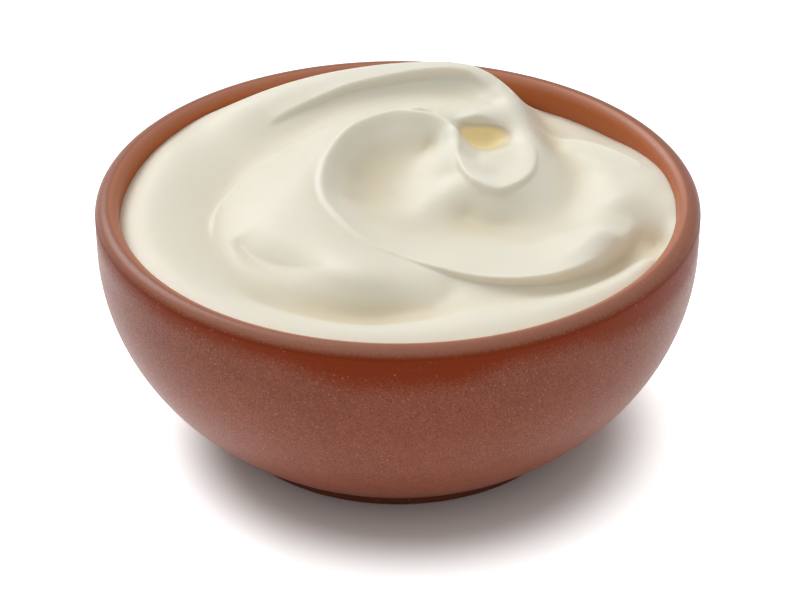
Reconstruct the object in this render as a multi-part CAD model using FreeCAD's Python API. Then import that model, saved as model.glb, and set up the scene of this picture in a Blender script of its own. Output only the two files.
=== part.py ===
import FreeCAD, Part
import math
import os

from FreeCAD import Vector

# A round stoneware bowl on a foot ring, filled with thick yogurt that a spoon has swirled.
# Millimetres, +Z up. The origin is the middle of the foot, on the table.

# The bowl.
rim_radius = 65.0  # outside, at the lip and down to the shoulder
bowl_height = 55.0  # table to the top of the lip
lip_thickness = 5.2  # the lip is a full round of this thickness
shoulder_height = 45.0  # the outside is upright from here to the lip
body_depth = 54.0  # the outside below the shoulder is an ellipse with this half height
wall_thickness = 5.4  # clay at the shoulder, measured on the two ellipses' half heights
floor_height = 9.0  # table to the inside floor
floor_blend = 16.0  # round between the floor and the inside wall

# The foot ring.
foot_radius = 39.5
foot_height = 3.7
foot_width = 5.5
foot_recess_depth = 2.6
body_edge_round = 1.2  # lower edge of the body, which overhangs the foot
foot_edge_round = 0.8

# The yogurt. Strokes are drawn on a plan of a round opening of plan_radius, and stretched to the
# real opening. Each point is (x, y, level), where level is the height above the top of the lip.
plan_radius = 60.0
swirl_softness = 2.2  # how round a crest or a trough is
wall_spacing = 5.0  # between the points that hold the surface at the wall
stroke_spacing = 4.0  # between the points along a stroke
nearest_points = 1.8
edge_spacing = 0.8  # between the points along an edge
edge_fade = 4.0  # length over which an edge rises at each of its ends
edge_softness = 1.8  # added to the width on the outer side
surface_step = 1.8  # between the sampled points of the finished surface
headroom = 15.0  # how far above the lip the swirl may rise

# Where the yogurt meets the wall: (direction in degrees, level).
wall_levels = [
    (0, -2.8), (12, -2.8), (22, -4.0), (36, -6.0), (63, -6.5), (90, -4.0), (112, -2.6),
    (139, -2.8), (155, -3.6), (170, -4.4), (225, -4.5), (270, -4.8), (300, -5.0), (325, -6.0),
    (340, -7.0), (350, -5.0),
]

strokes = {
    # the smooth bank round the left and front of the bowl
    "bank": [
        (-47, 29, -1.8), (-52, 22, -2.0), (-55, 7, -2.6), (-55, -6, -3.0), (-51, -20, -3.2),
        (-39, -37, -3.2), (-19, -49, -3.2), (0, -52, -3.2), (20, -47, -3.4), (35, -39, -3.8),
        (45, -31, -4.4), (53, -21, -5.2),
    ],
    # the furrow inside the bank, which deepens towards the front
    "furrow": [
        (1, 35, 2.0), (-8, 34, 1.2), (-15, 32, 0.2), (-24, 27, -1.4), (-33, 18, -3.0),
        (-37, 10, -4.2), (-40, 1, -4.8), (-39, -12, -5.4), (-34, -25, -6.4), (-28, -33, -7.6),
        (-20, -35, -8.6), (-10, -37, -9.0), (-2, -37, -8.8), (7, -37, -7.8),
    ],
    # the crest of the broad fold round the left of the scoop, and its outer flank
    "fold_crest": [
        (9, 28, 2.2), (4, 30, 2.5), (-2, 31, 2.4), (-11, 25, 1.6), (-15, 13, 0.6),
        (-16, -1, -0.6), (-11, -11, -2.0), (-6, -18, -3.2), (1, -21, -4.2),
    ],
    "fold_flank": [
        (-20, 18, 0.0), (-28, 5, -1.4), (-29, -10, -2.2), (-20, -22, -3.4), (-10, -31, -4.2),
        (1, -32, -5.4), (10, -31, -6.2),
    ],
    # the high ridge at the back, curling forward round the eye, and the foot of its front face
    "ridge": [
        (-42, 37, -0.6), (-36, 39.5, 1.2), (-27, 43, 3.2), (-16, 47.5, 4.4),
        (-4, 50.5, 5.0), (8, 51, 5.2), (14, 50.5, 5.1), (19, 48, 5.0), (23, 44, 4.2), (26, 38, 2.8),
        (28, 29, 1.2), (30, 21, 0.2), (30, 16, -0.4), (29, 10, -1.0), (26, 4, -1.4),
        (22, 3, -1.6), (17, 6, -1.2), (15, 10, -0.7), (13, 15, 0.0), (13, 19, 0.8),
        (13, 24, 1.7),
    ],
    "ridge_foot": [
        (-29, 28.5, -1.2), (-23, 33, 0.1), (-16, 37, 1.0), (-10, 40, 1.6), (0, 43.3, 2.2),
        (8, 44.3, 2.4), (14, 44, 2.4), (19, 41.5, 2.3), (22, 37.5, 2.0),
    ],
    # the terrace's front edge, the eye of the swirl under it and the disc in front of the eye
    "terrace": [(14, 29, 1.9), (19, 29, 1.7), (23, 29, 1.4)],
    "eye": [(16, 26, -1.3), (20, 27, -1.2), (24, 25.5, -0.8), (26.5, 22, -0.3)],
    "disc": [(17, 17, -1.1), (22, 19, -0.9), (26, 19, -0.5), (22, 10, -1.5)],
    # the scoop left of the curl, and the dish that runs on from it in front
    "scoop_top": [(-10, 4, -4.2), (-10, 14, -3.1), (-6, 22, -1.8), (1, 24, -1.3), (7, 23, -1.5)],
    "scoop": [(-4, 5, -5.8), (0, 8, -5.7), (3, 13, -4.6)],
    "spur": [(11, 11, -2.3), (9, 6, -3.9), (6, 1, -5.1)],
    "dish": [
        (-5, -5, -5.0), (3, -7, -6.2), (11, -9, -6.6), (20, -11, -6.6), (28, -12, -6.2),
        (37, -8, -5.2),
    ],
    "curl_foot": [
        (15, 1, -6.0), (18, -1, -6.3), (23, -3, -6.4), (28, -4, -6.0), (34, -2, -5.4),
        (38, 5, -4.8), (39, 15, -4.4), (36, 27, -4.2), (34, 37, -4.6), (32, 48, -5.0),
    ],
    # the ground that the lip of the fold stands on, and the trough outside it
    "lip_base": [
        (7, -26, -4.4), (15, -29, -5.0), (23, -31, -5.4), (31, -30, -5.4), (39, -24, -5.0),
        (45, -15, -3.6),
    ],
    "trough": [
        (15, -32, -5.8), (23, -33.5, -6.0), (31, -32.5, -6.2), (39, -27, -6.6), (45, -19, -7.1),
        (51, -13, -8.0), (56, -10, -8.0),
    ],
    # the soft mass between the dish and the right side of the bowl
    "shoulder": [(43, -2, -3.6), (49, 2, -1.9), (46, 14, -2.4), (54, 9, -2.0)],
    "shoulder_back": [(53, 15, -2.6), (46, 21, -3.0), (38, 27, -3.8)],
    "back_hollow": [(45, 35, -5.4), (37, 44, -5.6)],
}

# Edges that stand up from the sheet, each with its width on the inner side, which is the left
# one along it. Their points are (x, y, rise, width on the outer side).
edges = {
    # the lip of the fold, from the front round to the right
    "lip": (9.0, [
        (-10, -13, 0.1, 1.5), (-5, -18, 0.3, 1.2), (0.5, -21, 0.5, 1.0), (7, -25, 0.8, 1.0),
        (15, -28.5, 1.3, 1.1), (23, -30, 1.9, 1.2), (31.5, -29, 2.2, 1.3), (39.5, -23.5, 1.9, 1.8),
        (45, -16, 1.4, 2.6), (48.5, -9, 0.9, 3.2), (51, -3, 0.0, 3.6),
    ]),
    # the steep front face of the ridge
    "roll": (8.0, [
        (-30.5, 30.5, 0.0, 1.6), (-28.5, 32, 0.4, 1.5), (-23, 35.8, 0.9, 1.4),
        (-16.5, 39.7, 1.3, 1.3), (-10.5, 42.8, 1.6, 1.2), (0, 46, 1.9, 1.2), (8, 47.2, 1.9, 1.2),
        (14, 47, 1.6, 1.2), (18.5, 45, 0.9, 1.3), (22, 41.5, 0.0, 1.5),
    ]),
    # the rim of the scoop
    "scoop_rim": (3.6, [
        (13, 15, 0.1, 1.6), (13, 23.5, 0.8, 1.3), (9, 28, 1.1, 1.6), (4, 30, 1.2, 1.8),
        (-2, 30.5, 1.1, 1.8), (-10.5, 25, 0.9, 1.8), (-15.5, 12.5, 0.8, 1.8),
        (-16, -1, 0.7, 1.8), (-11, -11.5, 0.6, 1.6), (-5, -18.5, 0.4, 1.4),
        (1, -22, 0.0, 1.2),
    ]),
    # the curl round the disc
    "curl": (4.0, [
        (13, 21, 0.1, 1.2), (13.5, 15, 0.5, 1.1), (14.5, 10.5, 0.7, 1.1), (17, 6, 0.8, 1.2),
        (21.5, 3, 0.8, 1.3), (25.5, 4.5, 0.8, 1.2), (29, 10, 0.7, 1.2), (30, 16, 0.4, 1.2),
        (29.5, 21.5, 0.1, 1.2),
    ]),
    # the step along the furrow, where the fold laps over it
    "fold": (5.0, [
        (-10, 29.5, 0.0, 0.8), (-15, 27.5, 0.3, 0.8), (-22.5, 24, 0.1, 0.8), (-27, 20, 0.4, 0.8),
        (-31, 16, 0.2, 0.8), (-36, 7, 0.4, 0.9), (-38.5, 1, 0.2, 1.0), (-39.5, -5, 0.4, 1.0),
        (-39, -11, 0.1, 1.2), (-37, -17, 0.0, 1.2),
    ]),
    # the back edge of the mass on the right, which laps over the band behind it
    "mass_edge": (4.0, [
        (56, 13.5, 0.0, 0.9), (53, 17.5, 0.7, 0.9), (47, 24, 1.0, 0.9), (40, 29.5, 0.9, 0.9),
        (34, 34, 0.4, 0.9), (31, 37, 0.0, 0.9),
    ]),
    # the short groove on the fold's flank
    "groove": (6.0, [
        (-35, -11, 0.0, 2.0), (-33, -14.5, -0.6, 2.5), (-29.5, -19, -0.8, 4.0),
        (-24.5, -22.5, -0.7, 5.0), (-18, -25, -0.3, 6.0), (-12, -26, 0.0, 6.0),
    ]),
}


def cavity_radius():
    return rim_radius - lip_thickness


def lip_centre_height():
    return bowl_height - lip_thickness / 2


def ellipse_point(half_width, half_height, z):
    """Point of the quarter ellipse below the shoulder, at height z."""
    drop = (shoulder_height - z) / half_height
    return Vector(half_width * math.sqrt(1 - drop * drop), 0, z)


def ellipse_arc(half_width, half_height, low_z):
    """Arc of that ellipse from height low_z up to the shoulder."""
    low = ellipse_point(half_width, half_height, low_z)
    centre = Vector(0, 0, shoulder_height)
    side = Vector(half_width, 0, shoulder_height)
    bottom = Vector(0, 0, shoulder_height - half_height)
    if half_width > half_height:
        ellipse = Part.Ellipse(side, bottom, centre)
    else:
        ellipse = Part.Ellipse(bottom, side, centre)
    ends = sorted([ellipse.parameter(low), ellipse.parameter(side)])
    if ends[1] - ends[0] > math.pi:
        ends = [ends[1], ends[0] + 2 * math.pi]
    return Part.ArcOfEllipse(ellipse, ends[0], ends[1]).toShape()


def line(a, b):
    return Part.LineSegment(a, b).toShape()


def turned(edges):
    """Solid of revolution about Z of the closed outline made by the edges."""
    wire = Part.Wire(Part.__sortEdges__(edges))
    return Part.Face(wire).revolve(Vector(0, 0, 0), Vector(0, 0, 1), 360)


def rounded(solid, radius, height, rounding):
    """The solid with its circular edges of that radius and height rounded."""
    picked = []
    for edge in solid.Edges:
        box = edge.BoundBox
        flat = box.ZLength < 0.01 and abs(box.ZMin - height) < 0.01
        if flat and abs(box.XMax - radius) < 0.01:
            picked.append(edge)
    return solid.makeFillet(rounding, picked)


def make_cavity(top):
    """The room inside the bowl, carried up to the height top as a plain cylinder."""
    radius = cavity_radius()
    half_height = body_depth - wall_thickness
    floor_edge = ellipse_point(radius, half_height, floor_height)
    side = Vector(radius, 0, shoulder_height)
    edges = [
        line(Vector(0, 0, floor_height), floor_edge),
        ellipse_arc(radius, half_height, floor_height),
        line(side, Vector(radius, 0, top)),
        line(Vector(radius, 0, top), Vector(0, 0, top)),
        line(Vector(0, 0, top), Vector(0, 0, floor_height)),
    ]
    return rounded(turned(edges), floor_edge.x, floor_height, floor_blend)


def make_body():
    """The outside of the bowl as a solid, with its full round lip and its foot."""
    body_edge = ellipse_point(rim_radius, body_depth, foot_height)
    lip_height = lip_centre_height()
    lip_radius = rim_radius - lip_thickness / 2
    outer = Vector(rim_radius, 0, lip_height)
    inner = Vector(cavity_radius(), 0, lip_height)
    crown = Vector(lip_radius, 0, bowl_height)
    edges = [
        line(Vector(0, 0, 0), Vector(foot_radius, 0, 0)),
        line(Vector(foot_radius, 0, 0), Vector(foot_radius, 0, foot_height)),
        line(Vector(foot_radius, 0, foot_height), body_edge),
        ellipse_arc(rim_radius, body_depth, foot_height),
        line(Vector(rim_radius, 0, shoulder_height), outer),
        Part.Arc(outer, crown, inner).toShape(),
        line(inner, Vector(0, 0, lip_height)),
        line(Vector(0, 0, lip_height), Vector(0, 0, 0)),
    ]
    body = rounded(turned(edges), body_edge.x, foot_height, body_edge_round)
    return rounded(body, foot_radius, 0, foot_edge_round)


def make_bowl():
    body = make_body().cut(make_cavity(lip_centre_height()))
    recess = Part.makeCylinder(foot_radius - foot_width, foot_recess_depth)
    return body.cut(recess).removeSplitter()


def spline_points(points, spacing):
    """Points along the smooth curve through the given ones (Catmull-Rom), about spacing apart."""
    first = [2 * a - b for a, b in zip(points[0], points[1])]
    last = [2 * a - b for a, b in zip(points[-1], points[-2])]
    row = [first] + [list(p) for p in points] + [last]
    found = []
    for i in range(1, len(row) - 2):
        p0, p1, p2, p3 = row[i - 1], row[i], row[i + 1], row[i + 2]
        parts = max(1, math.ceil(math.dist(p1[:2], p2[:2]) / spacing))
        for k in range(parts):
            t = k / parts
            found.append([
                0.5 * (2 * b + (c - a) * t + (2 * a - 5 * b + 4 * c - d) * t ** 2
                       + (3 * b - a - 3 * c + d) * t ** 3)
                for a, b, c, d in zip(p0, p1, p2, p3)
            ])
    found.append(list(points[-1]))
    return found


def wall_points():
    """Points round the wall, level by level."""
    radius = cavity_radius()
    count = int(2 * math.pi * radius / wall_spacing)
    closed = wall_levels + [(wall_levels[0][0] + 360, wall_levels[0][1])]
    found = []
    for i in range(count):
        angle = 360 * i / count
        for (a, low), (b, high) in zip(closed, closed[1:]):
            if a <= angle < b:
                level = low + (high - low) * (angle - a) / (b - a)
        turn = math.radians(angle)
        found.append([radius * math.cos(turn), radius * math.sin(turn), level])
    return found


def held_points():
    """Every point that holds the surface, with those that crowd an earlier one left out."""
    stretch = cavity_radius() / plan_radius
    found = wall_points()
    for points in strokes.values():
        for x, y, level in spline_points(points, stroke_spacing):
            spot = [x * stretch, y * stretch, level]
            if all(math.dist(spot[:2], other[:2]) > nearest_points for other in found):
                found.append(spot)
    return found


def solve(rows, values):
    """Solution of a set of linear equations, by elimination with pivoting."""
    size = len(rows)
    table = [row + [value] for row, value in zip(rows, values)]
    for i in range(size):
        best = max(range(i, size), key=lambda k: abs(table[k][i]))
        table[i], table[best] = table[best], table[i]
        pivot = table[i]
        for k in range(i + 1, size):
            share = table[k][i] / pivot[i]
            if share:
                lower = table[k]
                table[k] = lower[:i] + [a - share * b for a, b in zip(lower[i:], pivot[i:])]
    result = [0.0] * size
    for i in reversed(range(size)):
        known = sum(table[i][k] * result[k] for k in range(i + 1, size))
        result[i] = (table[i][size] - known) / table[i][i]
    return result


def surface_level(points):
    """The level at any (x, y) of the smooth sheet held at the points."""
    def pull(x, y, point):
        return -math.sqrt((x - point[0]) ** 2 + (y - point[1]) ** 2 + swirl_softness ** 2)

    rows = [[pull(a[0], a[1], b) for b in points] + [1.0, a[0], a[1]] for a in points]
    for k in range(3):
        rows.append([(1.0, b[0], b[1])[k] for b in points] + [0.0] * 3)
    weights = solve(rows, [p[2] for p in points] + [0.0] * 3)
    plane = weights[-3:]

    def level(x, y):
        bend = sum(w * pull(x, y, p) for w, p in zip(weights, points))
        return bend + plane[0] + plane[1] * x + plane[2] * y

    return level


def ease(t):
    t = min(1.0, max(0.0, t))
    return t * t * (3 - 2 * t)


def edge_rise(inner, points):
    """The height that an edge adds at any (x, y)."""
    stretch = cavity_radius() / plan_radius
    row = spline_points([(x * stretch, y * stretch, h, w) for x, y, h, w in points], edge_spacing)
    lengths = [0.0]
    for a, b in zip(row, row[1:]):
        lengths.append(lengths[-1] + math.dist(a[:2], b[:2]))
    reach = max([inner] + [p[3] + edge_softness for p in row])

    def rise(x, y):
        k = min(range(len(row)), key=lambda i: (x - row[i][0]) ** 2 + (y - row[i][1]) ** 2)
        gap = math.hypot(x - row[k][0], y - row[k][1])
        if gap > reach:
            return 0.0
        a, b = row[max(0, k - 1)], row[min(len(row) - 1, k + 1)]
        left = (b[0] - a[0]) * (y - row[k][1]) - (b[1] - a[1]) * (x - row[k][0]) > 0
        if left:
            share = max(0.0, 1 - gap / inner) ** 2
        else:
            share = 1 - ease(gap / (row[k][3] + edge_softness))
        ends = min(lengths[k], lengths[-1] - lengths[k])
        return row[k][2] * share * ease(ends / edge_fade)

    return rise


def make_yogurt():
    """The yogurt from the bowl's floor up to its swirled surface."""
    level = surface_level(held_points())
    rises = [edge_rise(inner, points) for inner, points in edges.values()]
    half = cavity_radius() + surface_step
    count = math.ceil(2 * half / surface_step)
    ticks = [-half + 2 * half * i / count for i in range(count + 1)]
    grid = []
    for x in ticks:
        column = []
        for y in ticks:
            lift = level(x, y) + sum(rise(x, y) for rise in rises)
            column.append(Vector(x, y, bowl_height + lift))
        grid.append(column)
    surface = Part.BSplineSurface()
    surface.interpolate(grid)
    above = surface.toShape().extrude(Vector(0, 0, bowl_height))
    return make_cavity(bowl_height + headroom).cut(above)


def export(name, shape):
    solid = shape.Solids[0]
    print(name, "solids", len(shape.Solids), "valid", solid.isValid(),
          "volume cm3 %.1f" % (solid.Volume / 1000), "top %.2f" % solid.BoundBox.ZMax)
    solid.exportStep("parts/%s.step" % name)


os.makedirs("parts", exist_ok=True)
export("bowl", make_bowl())
export("yogurt", make_yogurt())
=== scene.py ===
import math

import bmesh
import bpy
import numpy as np
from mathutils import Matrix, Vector


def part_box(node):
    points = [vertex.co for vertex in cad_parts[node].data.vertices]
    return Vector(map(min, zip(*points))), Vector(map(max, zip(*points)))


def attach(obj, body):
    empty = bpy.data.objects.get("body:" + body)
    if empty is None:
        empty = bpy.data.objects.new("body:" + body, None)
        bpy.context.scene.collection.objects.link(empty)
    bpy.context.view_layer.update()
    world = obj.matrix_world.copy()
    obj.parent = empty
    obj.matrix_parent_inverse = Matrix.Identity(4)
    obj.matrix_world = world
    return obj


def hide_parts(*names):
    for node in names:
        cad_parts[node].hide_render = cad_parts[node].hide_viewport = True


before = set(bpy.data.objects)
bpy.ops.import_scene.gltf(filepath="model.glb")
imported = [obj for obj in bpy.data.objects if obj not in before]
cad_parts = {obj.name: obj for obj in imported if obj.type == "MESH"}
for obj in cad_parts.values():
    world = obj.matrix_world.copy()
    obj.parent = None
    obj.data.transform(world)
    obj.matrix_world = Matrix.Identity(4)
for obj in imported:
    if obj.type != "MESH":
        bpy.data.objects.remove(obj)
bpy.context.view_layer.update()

# A stoneware bowl of thick swirled yogurt. The frame is in metres, and the sizes below that
# say mm are millimetres.
mm = 0.001
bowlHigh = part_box("bowl")[1]
rimRadius = bowlHigh.x / mm
rimHeight = bowlHigh.z / mm
print("frame loaded, bowl", round(2 * rimRadius, 1), "mm across,", round(rimHeight, 1), "mm high")

# The bowl, in mm.
bowlSizes = {
    "lipThickness": 5.2,
    "shoulderHeight": 45.0,
    "bodyDepth": 54.0,
    "wallThickness": 5.4,
    "floorHeight": 9.0,
    "floorBlend": 16.0,
    "footRadius": 39.5,
    "footHeight": 3.7,
    "footWidth": 5.5,
    "footRecess": 2.6,
    "footRound": 0.8,
    "innerFootRound": 0.6,
    "edgeRound": 1.2,
    "edgeRoundTop": 1.1,
    "lipPoints": 20,
    "sidePoints": 40,
    "insidePoints": 24,
    "steps": 256,
}


def ellipseRadius(halfWidth, halfHeight, z):
    drop = (bowlSizes["shoulderHeight"] - z) / halfHeight
    return halfWidth * math.sqrt(max(0.0, 1 - drop * drop))


def arcPoints(centre, radius, start, end, count):
    found = []
    for i in range(count + 1):
        turn = math.radians(start + (end - start) * i / count)
        found.append((centre[0] + radius * math.cos(turn), centre[1] + radius * math.sin(turn)))
    return found


def insideOutline(low, high, count):
    # radius and height up the inside wall, from the floor's edge to the height high
    s = bowlSizes
    halfWidth = rimRadius - s["lipThickness"]
    halfHeight = s["bodyDepth"] - s["wallThickness"]
    found = []
    for i in range(count + 1):
        z = low + (high - low) * (i / count) ** 1.6
        if z < s["shoulderHeight"]:
            found.append((ellipseRadius(halfWidth, halfHeight, z), z))
        else:
            found.append((halfWidth, z))
    return found


def newPiece(name, mesh):
    piece = bpy.data.objects.new(name, bpy.data.meshes.new(name))
    mesh.to_mesh(piece.data)
    mesh.free()
    bpy.context.scene.collection.objects.link(piece)
    for face in piece.data.polygons:
        face.use_smooth = True
    return piece


def spunMesh(outline, steps):
    # the outline, a list of (radius, height) in mm, turned once about Z
    mesh = bmesh.new()
    verts = [mesh.verts.new((r * mm, 0, z * mm)) for r, z in outline]
    sides = [mesh.edges.new(pair) for pair in zip(verts, verts[1:])]
    bmesh.ops.spin(mesh, geom=verts + sides, cent=(0, 0, 0), axis=(0, 0, 1),
                   angle=2 * math.pi, steps=steps, use_merge=True)
    bmesh.ops.remove_doubles(mesh, verts=mesh.verts, dist=0.00001)
    bmesh.ops.recalc_face_normals(mesh, faces=mesh.faces)
    return mesh


def makeBowl():
    s = bowlSizes
    lipRound = s["lipThickness"] / 2
    lipCentre = (rimRadius - lipRound, rimHeight - lipRound)
    foot, recess, footRound = s["footRadius"], s["footRecess"], s["footRound"]
    inner, innerRound = foot - s["footWidth"], s["innerFootRound"]
    outline = [(0, recess), (inner * 0.5, recess), (inner - 0.5, recess)]
    outline += [(inner, recess - 0.5), (inner, innerRound)]
    outline += arcPoints((inner + innerRound, innerRound), innerRound, 180, 270, 4)[1:]
    outline += arcPoints((foot - footRound, footRound), footRound, -90, 0, 6)
    outline += [(foot, s["footHeight"] - 0.5), (foot + 0.35, s["footHeight"] - 0.05)]
    # the body's lower edge hangs over the foot, and its side runs up to the lip
    bodyEdge = ellipseRadius(rimRadius, s["bodyDepth"], s["footHeight"])
    outline += [(bodyEdge - s["edgeRound"], s["footHeight"])]
    outline += [(bodyEdge - 0.35, s["footHeight"] + 0.28)]
    low = s["footHeight"] + s["edgeRoundTop"]
    for i in range(s["sidePoints"]):
        z = low + (s["shoulderHeight"] - low) * i / s["sidePoints"]
        outline.append((ellipseRadius(rimRadius, s["bodyDepth"], z), z))
    outline += [(rimRadius, s["shoulderHeight"] + k * 1.9) for k in range(4)]
    outline += arcPoints(lipCentre, lipRound, 0, 180, s["lipPoints"])
    # down the inside wall and over its round to the middle of the floor
    floorEdge = s["floorHeight"] + s["floorBlend"] / 4
    inside = insideOutline(floorEdge, lipCentre[1] - 1.5, s["insidePoints"])
    outline += inside[::-1]
    outline += [(inside[0][0] - 5, s["floorHeight"] + 1.0), (inside[0][0] - 12, s["floorHeight"])]
    outline += [(0, s["floorHeight"])]
    return newPiece("stonewareBowl", spunMesh(outline, s["steps"]))


# The yogurt, in mm: softness is how round its crests are, and cells how fine its surface is.
swirl = {
    "planRadius": 60.0,
    "softness": 2.2,
    "strokeSpacing": 3.0,
    "wallSpacing": 5.0,
    "crowding": 1.8,
    "cells": 288,
    "intoWall": 0.5,
    "edgeSpacing": 0.3,
    "fadeLength": 4.0,
    "wallRows": 5,
    # the eye entries set where and how strongly a golden painted shade is laid into the hollow of
    # the eye
    "eyeCentre": (19.0, 27.0),
    "eyeReach": (9.0, 5.0),
    "eyeShadeStrength": 1.6,
}

# Levels are in mm above the top of the bowl's lip. Along the wall: direction in degrees, level.
wallLevels = [
    (0, -2.8), (12, -2.8), (22, -4.0), (36, -6.0), (63, -6.5), (90, -4.0), (112, -2.6),
    (139, -2.8), (155, -3.6), (170, -4.4), (225, -4.5), (270, -4.8), (300, -5.0), (325, -6.0),
    (340, -7.0), (350, -5.0),
]

# The spoon's strokes on a plan of the bowl's mouth: right, back, level.
strokes = {
    "bank": [
        (-47, 29, -1.8), (-52, 22, -2.0), (-55, 7, -2.6), (-55, -6, -3.0), (-51, -20, -3.2),
        (-39, -37, -3.2), (-19, -49, -3.2), (0, -52, -3.2), (20, -47, -3.4), (35, -39, -3.8),
        (45, -31, -4.4), (53, -21, -5.2),
    ],
    "furrow": [
        (1, 35, 2.0), (-8, 34, 1.2), (-15, 32, 0.2), (-24, 27, -1.4), (-33, 18, -3.0),
        (-37, 10, -4.2), (-40, 1, -4.8), (-39, -12, -5.4), (-34, -25, -6.4), (-28, -33, -7.6),
        (-20, -35, -8.6), (-10, -37, -9.0), (-2, -37, -8.8), (7, -37, -7.8),
    ],
    "foldCrest": [
        (9, 28, 2.2), (4, 30, 2.5), (-2, 31, 2.4), (-11, 25, 1.6), (-15, 13, 0.6),
        (-16, -1, -0.6), (-11, -11, -2.0), (-6, -18, -3.2), (1, -21, -4.2),
    ],
    "foldFlank": [
        (-20, 18, 0.0), (-28, 5, -1.4), (-29, -10, -2.2), (-20, -22, -3.4), (-10, -31, -4.2),
        (1, -32, -5.4), (10, -31, -6.2),
    ],
    "ridge": [
        (-42, 37, -0.6), (-36, 39.5, 1.2), (-27, 43, 3.2), (-16, 47.5, 4.4),
        (-4, 50.5, 5.0), (8, 51, 5.2), (14, 50.5, 5.1), (19, 48, 5.0), (23, 44, 4.2), (26, 38, 2.8),
        (28, 29, 1.2), (30, 21, 0.2), (30, 16, -0.4), (29, 10, -1.0), (26, 4, -1.4),
        (22, 3, -1.6), (17, 6, -1.2), (15, 10, -0.7), (13, 15, 0.0), (13, 19, 0.8),
        (13, 24, 1.7),
    ],
    "ridgeFoot": [
        (-29, 28.5, -1.2), (-23, 33, 0.1), (-16, 37, 1.0), (-10, 40, 1.6), (0, 43.3, 2.2),
        (8, 44.3, 2.4), (14, 44, 2.4), (19, 41.5, 2.3), (22, 37.5, 2.0),
    ],
    "terrace": [(14, 29, 1.9), (19, 29, 1.7), (23, 29, 1.4)],
    "eye": [(16, 26, -1.3), (20, 27, -1.2), (24, 25.5, -0.8), (26.5, 22, -0.3)],
    "disc": [(17, 17, -1.1), (22, 19, -0.9), (26, 19, -0.5), (22, 10, -1.5)],
    "scoopTop": [(-10, 4, -4.2), (-10, 14, -3.1), (-6, 22, -1.8), (1, 24, -1.3), (7, 23, -1.5)],
    "scoop": [(-4, 5, -5.8), (0, 8, -5.7), (3, 13, -4.6)],
    "spur": [(11, 11, -2.3), (9, 6, -3.9), (6, 1, -5.1)],
    "dish": [
        (-5, -5, -5.0), (3, -7, -6.2), (11, -9, -6.6), (20, -11, -6.6), (28, -12, -6.2),
        (37, -8, -5.2),
    ],
    "curlFoot": [
        (15, 1, -6.0), (18, -1, -6.3), (23, -3, -6.4), (28, -4, -6.0), (34, -2, -5.4),
        (38, 5, -4.8), (39, 15, -4.4), (36, 27, -4.2), (34, 37, -4.6), (32, 48, -5.0),
    ],
    "lipBase": [
        (7, -26, -4.4), (15, -29, -5.0), (23, -31, -5.4), (31, -30, -5.4), (39, -24, -5.0),
        (45, -15, -3.6),
    ],
    "trough": [
        (15, -32, -5.8), (23, -33.5, -6.0), (31, -32.5, -6.2), (39, -27, -6.6), (45, -19, -7.1),
        (51, -13, -8.0), (56, -10, -8.0),
    ],
    "shoulder": [(43, -2, -3.6), (49, 2, -1.9), (46, 14, -2.4), (54, 9, -2.0)],
    "shoulderBack": [(53, 15, -2.6), (46, 21, -3.0), (38, 27, -3.8)],
    "backHollow": [(45, 35, -5.4), (37, 44, -5.6)],
}

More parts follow.
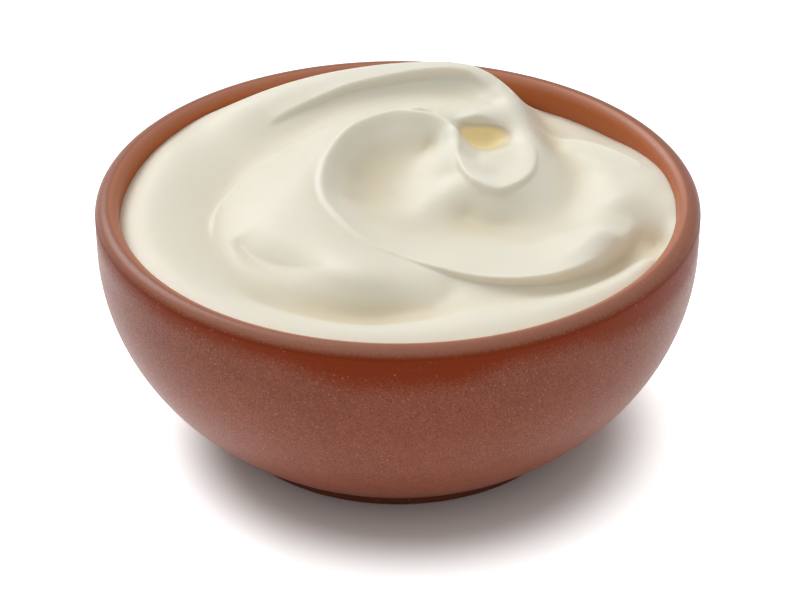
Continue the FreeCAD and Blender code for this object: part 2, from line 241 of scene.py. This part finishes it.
# Crisp edges laid over the smooth sheet: right, back, rise, and the width over which the edge
# falls away on its right. inner is the width on its left, push how far its top hangs out.
edges = {
    "lip": {"inner": 9.0, "push": 1.2, "points": [
        (-10, -13, 0.1, 1.5), (-5, -18, 0.3, 1.2), (0.5, -21, 0.5, 1.0), (7, -25, 0.8, 1.0),
        (15, -28.5, 1.3, 1.1), (23, -30, 1.9, 1.2), (31.5, -29, 2.2, 1.3), (39.5, -23.5, 1.9, 1.8),
        (45, -16, 1.4, 2.6), (48.5, -9, 0.9, 3.2), (51, -3, 0.0, 3.6),
    ]},
    "roll": {"inner": 8.0, "push": 0.8, "points": [
        (-30.5, 30.5, 0.0, 1.6), (-28.5, 32, 0.4, 1.5), (-23, 35.8, 0.9, 1.4),
        (-16.5, 39.7, 1.3, 1.3), (-10.5, 42.8, 1.6, 1.2), (0, 46, 1.9, 1.2), (8, 47.2, 1.9, 1.2),
        (14, 47, 1.6, 1.2), (18.5, 45, 0.9, 1.3), (22, 41.5, 0.0, 1.5),
    ]},
    "scoopRim": {"inner": 3.6, "push": 0.0, "points": [
        (13, 15, 0.1, 1.6), (13, 23.5, 0.8, 1.3), (9, 28, 1.1, 1.6), (4, 30, 1.2, 1.8),
        (-2, 30.5, 1.1, 1.8), (-10.5, 25, 0.9, 1.8), (-15.5, 12.5, 0.8, 1.8),
        (-16, -1, 0.7, 1.8), (-11, -11.5, 0.6, 1.6), (-5, -18.5, 0.4, 1.4),
        (1, -22, 0.0, 1.2),
    ]},
    "curl": {"inner": 4.0, "push": 0.6, "points": [
        (13, 21, 0.1, 1.2), (13.5, 15, 0.5, 1.1), (14.5, 10.5, 0.7, 1.1), (17, 6, 0.8, 1.2),
        (21.5, 3, 0.8, 1.3), (25.5, 4.5, 0.8, 1.2), (29, 10, 0.7, 1.2), (30, 16, 0.4, 1.2),
        (29.5, 21.5, 0.1, 1.2),
    ]},
    "terraceEdge": {"inner": 3.0, "push": 0.9, "points": [
        (11.5, 29.5, 0.0, 0.8), (13, 29, 0.5, 0.8), (18.5, 29.5, 0.7, 0.8),
        (23, 28.5, 0.4, 0.8), (25.5, 26.5, 0.0, 0.8),
    ]},
    "fold": {"inner": 5.0, "push": 0.4, "points": [
        (-10, 29.5, 0.0, 0.8), (-15, 27.5, 0.3, 0.8), (-22.5, 24, 0.1, 0.8), (-27, 20, 0.4, 0.8),
        (-31, 16, 0.2, 0.8), (-36, 7, 0.4, 0.9), (-38.5, 1, 0.2, 1.0), (-39.5, -5, 0.4, 1.0),
        (-39, -11, 0.1, 1.2), (-37, -17, 0.0, 1.2),
    ]},
    "flap": {"inner": 2.5, "push": 0.5, "points": [
        (-1, 32.5, 0.0, 0.7), (2.5, 32.5, 0.6, 0.7), (6, 32, 0.9, 0.7), (9.5, 29.5, 0.8, 0.7),
        (12.5, 26.5, 0.6, 0.7), (13.5, 24, 0.0, 0.7),
    ]},
    "massEdge": {"inner": 4.0, "push": 0.5, "points": [
        (56, 13.5, 0.0, 0.9), (53, 17.5, 0.7, 0.9), (47, 24, 1.0, 0.9), (40, 29.5, 0.9, 0.9),
        (34, 34, 0.4, 0.9), (31, 37, 0.0, 0.9),
    ]},
    "groove": {"inner": 6.0, "push": 0.0, "points": [
        (-35, -11, 0.0, 2.0), (-33, -14.5, -0.6, 2.5), (-29.5, -19, -0.8, 4.0),
        (-24.5, -22.5, -0.7, 5.0), (-18, -25, -0.3, 6.0), (-12, -26, 0.0, 6.0),
    ]},
}


def splinePoints(points, spacing):
    row = np.array(points, float)
    row = np.vstack([2 * row[0] - row[1], row, 2 * row[-1] - row[-2]])
    found = []
    for p0, p1, p2, p3 in zip(row, row[1:], row[2:], row[3:]):
        parts = max(1, math.ceil(np.linalg.norm((p2 - p1)[:2]) / spacing))
        for k in range(parts):
            t = k / parts
            found.append(0.5 * (2 * p1 + (p2 - p0) * t + (2 * p0 - 5 * p1 + 4 * p2 - p3) * t ** 2
                                + (3 * p1 - p0 - 3 * p2 + p3) * t ** 3))
    found.append(row[-2])
    return np.array(found)


def heldPoints():
    s = swirl
    radius = rimRadius - bowlSizes["lipThickness"]
    count = int(2 * math.pi * radius / s["wallSpacing"])
    angles = np.arange(count) * 360 / count
    known = np.array(wallLevels + [(360 + wallLevels[0][0], wallLevels[0][1])], float)
    levels = np.interp(angles, known[:, 0], known[:, 1])
    turns = np.radians(angles)
    found = list(np.column_stack([radius * np.cos(turns), radius * np.sin(turns), levels]))
    stretch = np.array([radius / s["planRadius"], radius / s["planRadius"], 1])
    for points in strokes.values():
        for spot in splinePoints(points, s["strokeSpacing"]) * stretch:
            gaps = np.linalg.norm(np.array(found)[:, :2] - spot[:2], axis=1)
            if gaps.min() > s["crowding"]:
                found.append(spot)
    return np.array(found)


def sheetThrough(held):
    count = len(held)

    def pull(x, y):
        away = (x[:, None] - held[None, :, 0]) ** 2 + (y[:, None] - held[None, :, 1]) ** 2
        return -np.sqrt(away + swirl["softness"] ** 2)

    rows = np.zeros((count + 3, count + 3))
    rows[:count, :count] = pull(held[:, 0], held[:, 1])
    rows[:count, count:] = np.column_stack([np.ones(count), held[:, :2]])
    rows[count:, :count] = rows[:count, count:].T
    weights = np.linalg.solve(rows, np.append(held[:, 2], [0, 0, 0]))

    def level(x, y):
        parts = []
        for i in range(0, len(x), 20000):
            a, b = x[i:i + 20000], y[i:i + 20000]
            parts.append(pull(a, b) @ weights[:count] + weights[count]
                         + weights[count + 1] * a + weights[count + 2] * b)
        return np.concatenate(parts)

    return level


def easeIn(t):
    t = np.clip(t, 0, 1)
    return t * t * (3 - 2 * t)


def edgeLift(places, edge):
    # how far the edge raises each place, and how far it carries it sideways
    line = splinePoints(edge["points"], swirl["edgeSpacing"])
    along = np.gradient(line[:, :2], axis=0)
    along /= np.linalg.norm(along, axis=1)[:, None]
    steps = np.linalg.norm(np.diff(line[:, :2], axis=0), axis=1)
    run = np.concatenate([[0], np.cumsum(steps)])
    reach = max(edge["inner"], line[:, 3].max())
    low, high = line[:, :2].min(axis=0) - reach, line[:, :2].max(axis=0) + reach
    close = np.where(((places > low) & (places < high)).all(axis=1))[0]
    rise = np.zeros(len(places))
    shift = np.zeros((len(places), 2))
    for i in range(0, len(close), 4000):
        some = close[i:i + 4000]
        away = places[some][:, None, :] - line[None, :, :2]
        gap = np.linalg.norm(away, axis=2)
        k = gap.argmin(axis=1)
        gap = gap[np.arange(len(some)), k]
        toward = away[np.arange(len(some)), k]
        left = along[k, 0] * toward[:, 1] - along[k, 1] * toward[:, 0] > 0
        fade = easeIn(np.minimum(run[k], run[-1] - run[k]) / swirl["fadeLength"])
        inner = np.clip(1 - gap / edge["inner"], 0, 1) ** 2
        outer = 1 - easeIn(gap / line[k, 3])
        shape = np.where(left, inner, outer) * fade
        rise[some] = line[k, 2] * shape
        carried = np.where(left, np.exp(-(gap / 1.5) ** 2) * fade, shape)
        carried *= edge["push"] * np.clip(line[k, 2] / 2, 0, 1)
        shift[some] = carried[:, None] * np.column_stack([along[k, 1], -along[k, 0]])
    return rise, shift


def blurred(grid, reach):
    # the mean of each place and its neighbours within reach cells along both ways
    for axis in (0, 1):
        padded = np.pad(grid, [(reach, reach) if k == axis else (0, 0) for k in (0, 1)], "edge")
        total = np.cumsum(padded, axis=axis)
        total = np.insert(total, 0, 0, axis=axis)
        width = 2 * reach + 1
        upper = np.take(total, range(width, total.shape[axis]), axis=axis)
        lower = np.take(total, range(0, total.shape[axis] - width), axis=axis)
        grid = (upper - lower) / width
    return grid


def makeYogurt():
    s = swirl
    radius = rimRadius - bowlSizes["lipThickness"] + s["intoWall"]
    cells = s["cells"]
    mesh = bmesh.new()
    bmesh.ops.create_grid(mesh, x_segments=cells, y_segments=cells, size=1)
    square = np.array([v.co[:2] for v in mesh.verts])
    order = np.lexsort((square[:, 0], square[:, 1]))
    spots = square * np.sqrt(1 - square[:, ::-1] ** 2 / 2) * radius
    level = sheetThrough(heldPoints())
    heights = level(spots[:, 0], spots[:, 1])
    places = spots.copy()
    for edge in edges.values():
        rise, shift = edgeLift(spots, edge)
        heights += rise
        places += shift
    # how deep each place lies below the mean of its surroundings, at three distances
    grid = heights[order].reshape(cells + 1, cells + 1)
    hollow = np.zeros(len(heights))
    for reach, share in ((8, 0.2), (18, 0.4), (36, 0.4)):
        deeper = (blurred(blurred(grid, reach), reach) - grid) / (reach * 0.16)
        hollow[order] += share * np.clip(deeper, -1, 1.5).ravel()
    for vert, place, height in zip(mesh.verts, places, heights):
        vert.co = Vector((place[0], place[1], height + rimHeight)) * mm
    # painted shade: around the eye the hollow value is raised, so the material paints a deep golden
    # shade there
    fromEye = (spots - s["eyeCentre"]) / s["eyeReach"]
    nearEye = np.exp(-(fromEye ** 2).sum(axis=1))
    hollow += s["eyeShadeStrength"] * nearEye * np.clip(hollow * 2 + 0.7, 0, 1)
    # the material paints shade in the hollows and light on the crests from this value
    layer = mesh.verts.layers.float.new("hollow")
    for vert, depth in zip(mesh.verts, hollow):
        vert[layer] = depth
    closeBelow(mesh)
    return newPiece("swirledYogurt", mesh)


def closeBelow(mesh):
    # rows of faces down the inside wall to the bowl's floor, then one face across the floor
    s = bowlSizes
    halfWidth = rimRadius - s["lipThickness"]
    halfHeight = s["bodyDepth"] - s["wallThickness"]
    border = [e for e in mesh.edges if e.is_boundary]
    upper = {v: v.co.z / mm for e in border for v in e.verts}
    rows = swirl["wallRows"]
    for row in range(1, rows + 1):
        made = bmesh.ops.extrude_edge_only(mesh, edges=border)["geom"]
        border = [e for e in made if isinstance(e, bmesh.types.BMEdge) and e.is_boundary]
        lower = {}
        for vert in [v for v in made if isinstance(v, bmesh.types.BMVert)]:
            beside = [e.other_vert(vert) for e in vert.link_edges]
            top = next(upper[v] for v in beside if v in upper)
            lower[vert] = top
            z = top + (s["floorHeight"] - top) * (row / rows) ** 0.8
            r = halfWidth if z > s["shoulderHeight"] else ellipseRadius(halfWidth, halfHeight, z)
            r = (r - 6.0 if row == rows else r) + swirl["intoWall"]
            flat = Vector((vert.co.x, vert.co.y, 0)).normalized() * r
            vert.co = Vector((flat.x, flat.y, z)) * mm
        upper = lower
    bmesh.ops.holes_fill(mesh, edges=border)
    bmesh.ops.recalc_face_normals(mesh, faces=mesh.faces)


class Wire:
    # one output of a shader node: arithmetic on it adds Math nodes, and node() adds any other
    def __init__(self, tree, socket=None):
        self.tree = tree
        self.socket = socket

    def node(self, kind, settings, inputs, output=0):
        made = self.tree.nodes.new(kind)
        for name, value in settings.items():
            setattr(made, name, value)
        for name, value in inputs.items():
            if isinstance(value, Wire):
                self.tree.links.new(value.socket, made.inputs[name])
            else:
                made.inputs[name].default_value = value
        return Wire(self.tree, made.outputs[output])

    def maths(self, operation, *values):
        return self.node("ShaderNodeMath", {"operation": operation}, dict(enumerate(values)))

    def __add__(self, other):
        return self.maths("ADD", self, other)

    def __radd__(self, other):
        return self.maths("ADD", other, self)

    def __sub__(self, other):
        return self.maths("SUBTRACT", self, other)

    def __rsub__(self, other):
        return self.maths("SUBTRACT", other, self)

    def __mul__(self, other):
        return self.maths("MULTIPLY", self, other)

    def __rmul__(self, other):
        return self.maths("MULTIPLY", other, self)

    def __truediv__(self, other):
        return self.maths("DIVIDE", self, other)

    def __pow__(self, other):
        return self.maths("POWER", self, other)

    def limited(self):
        return self.node("ShaderNodeClamp", {}, {"Value": self})

    def ramp(self, low, high):
        # 0 below low, 1 above high, smooth between
        return self.node("ShaderNodeMapRange", {"interpolation_type": "SMOOTHSTEP"},
                         {"Value": self, "From Min": low, "From Max": high})

    def noise(self, scale, detail=3.0, roughness=0.5):
        return self.node("ShaderNodeTexNoise", {},
                         {"Vector": self, "Scale": scale, "Detail": detail,
                          "Roughness": roughness})

    def blend(self, first, second):
        # the colour first where this is 0, second where it is 1
        return self.node("ShaderNodeMix", {"data_type": "RGBA"},
                         {0: self, 6: first, 7: second}, output=2)

    def parts(self):
        split = self.node("ShaderNodeSeparateXYZ", {}, {"Vector": self}).socket.node
        return [Wire(self.tree, socket) for socket in split.outputs]


def newMaterial(name):
    material = bpy.data.materials.new(name)
    material.use_nodes = True
    shader = material.node_tree.nodes["Principled BSDF"]
    start = Wire(material.node_tree)
    return material, shader, start


def plug(wire, socket):
    wire.tree.links.new(wire.socket, socket)


def bumped(wire, strength, distance):
    return wire.node("ShaderNodeBump", {}, {"Height": wire, "Strength": strength,
                                            "Distance": distance})


# In the looks, a scale is how many times a pattern repeats in a metre.
yogurtLook = {
    "cream": (0.79, 0.76, 0.645, 1),
    "paintedHollowShade": (0.69, 0.61, 0.45, 1),
    "paintedEyeShade": (0.95, 0.77, 0.40, 1),
    "paintedCrestLight": (0.81, 0.785, 0.69, 1),
    "roughness": 0.42,
    "subsurface": 0.5,
    "subsurfaceScale": 0.0022,
    "subsurfaceRadius": (1.0, 0.75, 0.4),
    "specular": 0.35,
    "cloudScale": 60.0,
    "fineScale": 900.0,
    "ripples": 0.5,
    "pits": 0.12,
    "tornDepth": 1.6,
    "bump": 0.25,
}


def yogurtMaterial():
    s = yogurtLook
    material, shader, start = newMaterial("creamyYogurt")
    place = start.node("ShaderNodeTexCoord", {}, {}, "Object")
    hollow = start.node("ShaderNodeAttribute", {"attribute_name": "hollow"}, {}, "Fac")
    clouds = place.noise(s["cloudScale"], 4.0)
    fine = place.noise(s["fineScale"], 3.0)
    # painted shade: places that lie deeper than their surroundings are painted towards the hollow
    # shade colour
    depth = (hollow + (clouds - 0.5) * 0.25).ramp(-0.05, 0.75)
    colour = depth.blend(s["cream"], s["paintedHollowShade"])
    # painted shade with a golden glow in the deepest hollows, around the eye
    colour = hollow.ramp(0.75, 1.8).blend(colour, s["paintedEyeShade"])
    # painted light: the crests are painted lighter
    litCrest = (0 - hollow).ramp(0.1, 0.8)
    colour = litCrest.blend(colour, s["paintedCrestLight"])
    # some of the sharpest crests are torn; the tears get a dent in the bump and painted shade in
    # their colour
    patchy = place.noise(55.0, 2.0).ramp(0.48, 0.62)
    torn = (0 - hollow).ramp(0.45, 0.9) * patchy * place.noise(420.0, 5.0, 0.7).ramp(0.48, 0.7)
    colour = (torn * 0.3).blend(colour, s["paintedHollowShade"])
    plug(colour, shader.inputs["Base Color"])
    plug(s["roughness"] + (clouds - 0.5) * 0.2 + (fine - 0.5) * 0.12, shader.inputs["Roughness"])
    shader.inputs["Subsurface Weight"].default_value = s["subsurface"]
    shader.inputs["Subsurface Radius"].default_value = s["subsurfaceRadius"]
    shader.inputs["Subsurface Scale"].default_value = s["subsurfaceScale"]
    shader.inputs["Specular IOR Level"].default_value = s["specular"]
    bumps = place.noise(260.0, 5.0, 0.6) * s["ripples"] + place.noise(1400.0, 2.0) * s["pits"]
    bumps = bumps - torn * s["tornDepth"]
    plug(bumped(bumps, s["bump"], 0.0004), shader.inputs["Normal"])
    return material


glazeLook = {
    "clay": (0.180, 0.032, 0.009, 1),
    "pale": (0.215, 0.050, 0.017, 1),
    "thinGlazeAndShade": (0.178, 0.020, 0.0, 1),
    "darkGrainAndFootShade": (0.07, 0.015, 0.007, 1),
    "inside": (0.46, 0.135, 0.048, 1),
    "speck": (0.36, 0.17, 0.10, 1),
    "grain": (0.36, 0.13, 0.07, 1),
    "paintedLipSheen": (0.42, 0.19, 0.13, 1),
    "roughness": 0.42,
    "specular": 0.08,
    "coat": 0.33,
    "coatRoughness": 0.32,
    "bandTop": 0.0528,
    "bandDepth": 0.0035,
    "paintedLipSheenDepth": 1.1,
    "sandScale": 2900.0,
    "speckScale": 700.0,
    "bump": 0.35,
}


def glazeMaterial():
    s = glazeLook
    material, shader, start = newMaterial("speckledGlaze")
    place = start.node("ShaderNodeTexCoord", {}, {}, "Object")
    x, y, z = place.parts()
    sand = place.noise(s["sandScale"], 2.0, 0.7)
    coarse = place.noise(420.0, 3.0)
    patches = place.noise(28.0, 3.0)
    colour = (patches * 0.6 + coarse * 0.5).ramp(0.35, 0.8).blend(s["clay"], s["pale"])
    colour = (sand.ramp(0.5, 0.70) * 0.8).blend(colour, s["darkGrainAndFootShade"])
    colour = (sand.ramp(0.46, 0.3) * 0.55).blend(colour, s["grain"])
    # the band under the lip: the glaze is thinner there, and it is painted darker, deeper at the
    # front and at the right, a painted shade
    reach = (x * x + y * y) ** 0.5
    toFront = ((0 - y) / reach).ramp(0.93, 0.995)
    toRight = ((x * 0.87 - y * 0.5) / reach).ramp(0.88, 0.99)
    ragged = (sand - 0.5) * 0.005 + (coarse - 0.5) * 0.003
    depth = (toFront + toRight).limited() * s["bandDepth"] + 0.0008
    band = (z + ragged - s["bandTop"] + depth).ramp(-0.005, 0.001)
    band = band * (s["bandTop"] + 0.0006 - z).ramp(-0.0004, 0.0004)
    colour = (band * 0.9).blend(colour, s["thinGlazeAndShade"])
    # painted shade: a thin dark line under the lip's edge
    fromLine = z - s["bandTop"] + 0.0012
    line = fromLine.maths("ABSOLUTE", fromLine).ramp(0.0006, 0.0001)
    colour = (line * 0.5).blend(colour, s["thinGlazeAndShade"])
    # the inside of the bowl lies within an ellipse through the middle of its wall, and is painted
    # lighter than the outside of the same glaze, a painted light
    halfWall = bowlSizes["wallThickness"] / 2
    wide, deep = (rimRadius - halfWall) * mm, (bowlSizes["bodyDepth"] - halfWall) * mm
    across = reach / wide
    below = bowlSizes["shoulderHeight"] * mm - z
    drop = below.maths("MAXIMUM", below, 0.0) / deep
    within = (across * across + drop * drop).ramp(1.0, 0.98) * (z - 0.007).ramp(0.0, 0.001)
    colour = within.blend(colour, s["inside"])
    # painted reflection: the top of the lip is painted paler, a painted sheen of the light above
    paintedLipSheen = (z - (rimHeight - s["paintedLipSheenDepth"]) * mm + (sand - 0.5) * 0.003).ramp(-0.0004, 0.0004)
    colour = (paintedLipSheen * 0.5).blend(colour, s["paintedLipSheen"])
    # painted shade: the foot, under the body's overhang, is painted darker
    foot = (bowlSizes["footHeight"] * mm - z + ragged * 0.3).ramp(-0.0003, 0.0003)
    colour = (foot * 0.55).blend(colour, s["darkGrainAndFootShade"])
    specks = place.node("ShaderNodeTexVoronoi", {}, {"Vector": place,
                                                     "Scale": s["speckScale"],
                                                     "Randomness": 1.0})
    chance = place.noise(260.0, 1.0)
    specks = specks.ramp(0.20, 0.08) * chance.ramp(0.44, 0.60)
    colour = (specks * 0.45).blend(colour, s["speck"])
    plug(colour, shader.inputs["Base Color"])
    plug(s["roughness"] + (sand - 0.5) * 0.35 + (patches - 0.5) * 0.2, shader.inputs["Roughness"])
    shader.inputs["Specular IOR Level"].default_value = s["specular"]
    plug((1 - band) * s["coat"], shader.inputs["Coat Weight"])
    shader.inputs["Coat Roughness"].default_value = s["coatRoughness"]
    grain = sand * 0.5 + coarse * 0.4 + specks * 0.5
    plug(bumped(grain, s["bump"], 0.00025), shader.inputs["Normal"])
    return material


floorLook = {
    "pale": (0.91, 0.935, 0.955, 1),
    "paler": (0.93, 0.955, 0.975, 1),
    "roughness": 0.6,
    "shadowRight": 0.003,
    "shadowFront": 0.008,
    "shadowDark": 0.041,
    "shadowEnd": 0.061,
    "glow": 0.72,
}


def floorMaterial():
    # the floor glows a little away from the bowl, which keeps the shadow short
    s = floorLook
    material, shader, start = newMaterial("floorPaint")
    place = start.node("ShaderNodeTexCoord", {}, {}, "Object")
    tone = place.noise(3.0, 2.0).blend(s["pale"], s["paler"])
    plug(tone, shader.inputs["Base Color"])
    x, y, z = place.parts()
    fromRight, fromFront = x - s["shadowRight"], y + s["shadowFront"]
    reach = (x * x + y * y) ** 0.5
    fromShadow = (fromRight * fromRight + fromFront * fromFront) ** 0.5
    glow = fromShadow.ramp(s["shadowDark"], s["shadowEnd"])
    glow = glow * (reach.ramp(0.24, 0.13) * 0.5 + 0.5)
    plug(glow.blend((0, 0, 0, 1), (1, 1, 1, 1)), shader.inputs["Emission Color"])
    shader.inputs["Emission Strength"].default_value = s["glow"]
    shader.inputs["Roughness"].default_value = s["roughness"]
    return material


bowl = makeBowl()
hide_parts("bowl")
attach(bowl, "root")
bowl.data.materials.append(glazeMaterial())
print("bowl made")
yogurt = makeYogurt()
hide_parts("yogurt")
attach(yogurt, "root")
yogurt.data.materials.append(yogurtMaterial())
print("yogurt made")

lights = {
    "window": {"toward": (-0.45, 0.64, 0.66), "spread": 34, "power": 1.5,
               "colour": (0.99, 0.995, 1)},
    "overhead": {"toward": (-0.1, 0.1, 1.0), "spread": 90, "power": 0.6, "colour": (1, 1, 1)},
}

stageSizes = {
    "floorSize": 4.0,
    "cameraElevation": 28.9,
    "cameraDistance": 0.5525,
    "lens": 115.5,
    "aimDown": 2.454,
    "aimRight": 0.056,
    "skyColour": (1, 0.98, 0.94, 1),
    "skyPower": 0.50,
}


def makeStage():
    s = stageSizes
    mesh = bmesh.new()
    bmesh.ops.create_grid(mesh, x_segments=1, y_segments=1, size=s["floorSize"] / 2)
    floor = newPiece("floor", mesh)
    floor.data.materials.append(floorMaterial())
    camera = bpy.data.objects.new("camera", bpy.data.cameras.new("camera"))
    bpy.context.scene.collection.objects.link(camera)
    bpy.context.scene.camera = camera
    camera.data.lens = s["lens"]
    camera.data.sensor_width = 36
    camera.data.clip_start = 0.01
    tilt = math.radians(s["cameraElevation"])
    target = Vector((0, 0, rimHeight * mm))
    back = Vector((0, -math.cos(tilt), math.sin(tilt)))
    camera.location = target + back * s["cameraDistance"]
    aim = math.radians(90 - s["cameraElevation"] - s["aimDown"])
    camera.rotation_euler = (aim, 0, -math.radians(s["aimRight"]))


def addLight(name, toward, spread, power, colour):
    light = bpy.data.lights.new(name, "SUN")
    light.energy = power
    light.angle = math.radians(spread)
    light.color = colour
    lamp = bpy.data.objects.new(name, light)
    bpy.context.scene.collection.objects.link(lamp)
    lamp.location = Vector(toward) * 2
    lamp.rotation_euler = Vector(toward).to_track_quat("Z", "Y").to_euler()


def addSky():
    world = bpy.data.worlds.new("studio")
    bpy.context.scene.world = world
    world.use_nodes = True
    sky = world.node_tree.nodes["Background"]
    sky.inputs["Color"].default_value = stageSizes["skyColour"]
    sky.inputs["Strength"].default_value = stageSizes["skyPower"]


makeStage()
for name, light in lights.items():
    addLight(name, **light)
addSky()
bpy.context.scene.view_settings.view_transform = "Standard"
print("stage made")
